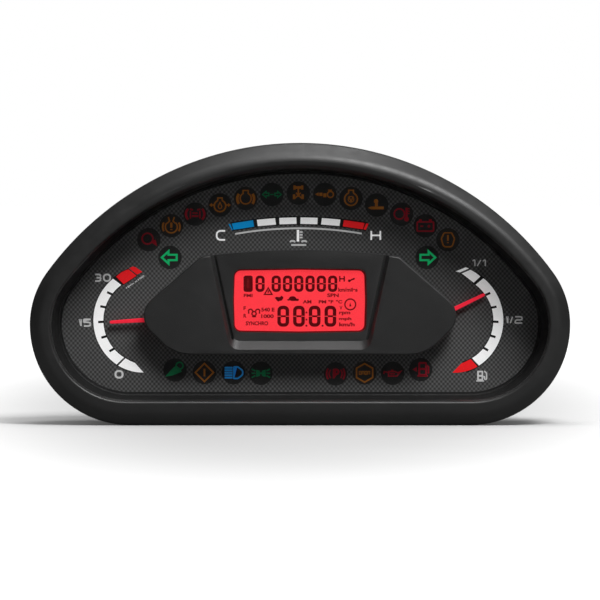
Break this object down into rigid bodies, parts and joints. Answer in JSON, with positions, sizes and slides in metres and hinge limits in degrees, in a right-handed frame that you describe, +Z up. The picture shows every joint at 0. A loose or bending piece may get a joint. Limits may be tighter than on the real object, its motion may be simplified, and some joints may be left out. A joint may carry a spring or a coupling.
{
  "type": "instrument cluster",
  "caption": "Half-round dashboard instrument cluster with two needle gauges, an arc of telltales, a coolant bar and a red centre display, for an off-road vehicle.",
  "frame": {"origin": "centre of the bounding box's bottom, on the surface that the cluster stands on", "axes": "+X to the right seen from the front, -Y out of the front lens, +Z up"},
  "size_m": [0.28, 0.08, 0.146],
  "materials": {
    "black_plastic": "fine matte grain",
    "dial_print": "fine dark weave pattern under the print",
    "clear_lens": "clear polished plastic, modelled as glass",
    "display_red": "evenly lit red display",
    "light_guide": "frosted clear plastic",
    "white_plastic": "matte white moulding",
    "pointer_red": "satin red, lit",
    "rubber": "soft black rubber",
    "board_green": "solder-mask green",
    "chip_black": "moulded black",
    "capacitor_can": "drawn can",
    "motor_case": "moulded dark grey",
    "motor_lid": "moulded dark grey",
    "gear_plastic": "natural acetal",
    "magnet": "sintered magnet, dark grey",
    "core_steel": "punched sheet",
    "coil_copper": "enamelled copper wire",
    "screw_steel": "zinc-plated",
    "insert_brass": "turned brass",
    "connector_grey": "moulded dark grey"
  },
  "bodies": {
    "cluster_body": {"front_bezel": "black_plastic", "front_lens": "clear_lens", "lens_gasket": "rubber", "dial_surround": "black_plastic", "dial_face": "dial_print", "centre_pod": "black_plastic", "display_window": "clear_lens", "display_glass": "display_red", "display_backlight": "light_guide", "display_holder": "white_plastic", "light_box": "white_plastic", "tach_scale_guide": "light_guide", "fuel_scale_guide": "light_guide", "coolant_bar_guide": "light_guide", "main_board": "board_green", "microcontroller": "chip_black", "voltage_regulator": "chip_black", "smoothing_capacitor": "capacitor_can", "warning_buzzer": "chip_black", "rear_housing": "black_plastic", "housing_gasket": "rubber", "connector_left": "connector_grey", "connector_right": "connector_grey", "breather_vent": "rubber", "tach_motor_case": "motor_case", "tach_motor_lid": "motor_lid", "tach_stator": "core_steel", "tach_coil_1": "coil_copper", "tach_coil_2": "coil_copper", "fuel_motor_case": "motor_case", "fuel_motor_lid": "motor_lid", "fuel_stator": "core_steel", "fuel_coil_1": "coil_copper", "fuel_coil_2": "coil_copper", "housing_screw_1": "screw_steel", "housing_screw_2": "screw_steel", "housing_screw_3": "screw_steel", "housing_screw_4": "screw_steel", "housing_screw_5": "screw_steel", "housing_screw_6": "screw_steel", "board_screw_1": "screw_steel", "mounting_insert_1": "insert_brass", "board_screw_2": "screw_steel", "mounting_insert_2": "insert_brass", "board_screw_3": "screw_steel", "mounting_insert_3": "insert_brass", "board_screw_4": "screw_steel", "mounting_insert_4": "insert_brass"},
    "tach_needle": {"tach_pointer": "pointer_red", "tach_pointer_cap": "black_plastic", "tach_output_gear": "gear_plastic"},
    "tach_idler": {"tach_idler_gear": "gear_plastic"},
    "tach_rotor_body": {"tach_rotor": "magnet"},
    "fuel_needle": {"fuel_pointer": "pointer_red", "fuel_pointer_cap": "black_plastic", "fuel_output_gear": "gear_plastic"},
    "fuel_idler": {"fuel_idler_gear": "gear_plastic"},
    "fuel_rotor_body": {"fuel_rotor": "magnet"}
  },
  "joints": [
    {"name": "tach_pointer_turn", "type": "hinge", "parent": "cluster_body", "child": "tach_needle", "pos_m": [-0.07, 0, 0.0547], "axis": [0, 1, 0], "range_deg": [-43, 66]},
    {"name": "tach_idler_spin", "type": "hinge", "parent": "cluster_body", "child": "tach_idler", "pos_m": [-0.0604, 0, 0.0547], "axis": [0, 1, 0], "continuous": true},
    {"name": "tach_rotor_spin", "type": "hinge", "parent": "cluster_body", "child": "tach_rotor_body", "pos_m": [-0.0516, 0, 0.0547], "axis": [0, 1, 0], "continuous": true},
    {"name": "fuel_pointer_turn", "type": "hinge", "parent": "cluster_body", "child": "fuel_needle", "pos_m": [0.07, 0, 0.0547], "axis": [0, -1, 0], "range_deg": [-72.5, 14.5]},
    {"name": "fuel_idler_spin", "type": "hinge", "parent": "cluster_body", "child": "fuel_idler", "pos_m": [0.0604, 0, 0.0547], "axis": [0, -1, 0], "continuous": true},
    {"name": "fuel_rotor_spin", "type": "hinge", "parent": "cluster_body", "child": "fuel_rotor_body", "pos_m": [0.0516, 0, 0.0547], "axis": [0, -1, 0], "continuous": true}
  ],
  "couplings": [
    {"joint": "tach_idler_spin", "follows": "tach_pointer_turn", "ratio": -5},
    {"joint": "tach_rotor_spin", "follows": "tach_pointer_turn", "ratio": 22.5},
    {"joint": "fuel_idler_spin", "follows": "fuel_pointer_turn", "ratio": -5},
    {"joint": "fuel_rotor_spin", "follows": "fuel_pointer_turn", "ratio": 22.5}
  ]
}
